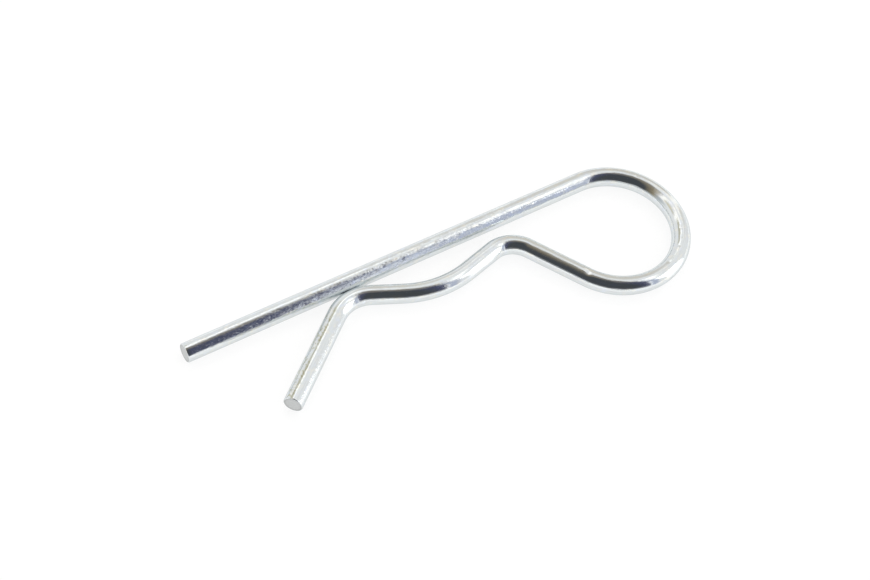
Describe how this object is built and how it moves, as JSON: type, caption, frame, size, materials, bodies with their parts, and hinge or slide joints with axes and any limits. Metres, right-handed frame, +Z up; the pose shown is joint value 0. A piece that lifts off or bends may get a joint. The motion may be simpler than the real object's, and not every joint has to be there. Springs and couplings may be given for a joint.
{
  "type": "hitch pin clip",
  "caption": "Spring wire R clip: a straight leg for a shaft's cross hole, an open loop as the spring, and a shaped leg whose seat snaps over the shaft.",
  "frame": {"origin": "middle of the clip's outline seen from above, at the level of the surface that the clip lies on", "axes": "+X along the straight leg from its free end towards the loop, +Y across the clip towards the straight leg, +Z up, square to the plane of the clip"},
  "size_m": [0.0811, 0.0238, 0.003],
  "materials": {
    "zinc_plated_wire": "bright zinc plate with a clear passivate over drawn spring steel wire; the cut ends are duller"
  },
  "bodies": {
    "root": {"clip_wire": "zinc_plated_wire"}
  },
  "joints": []
}
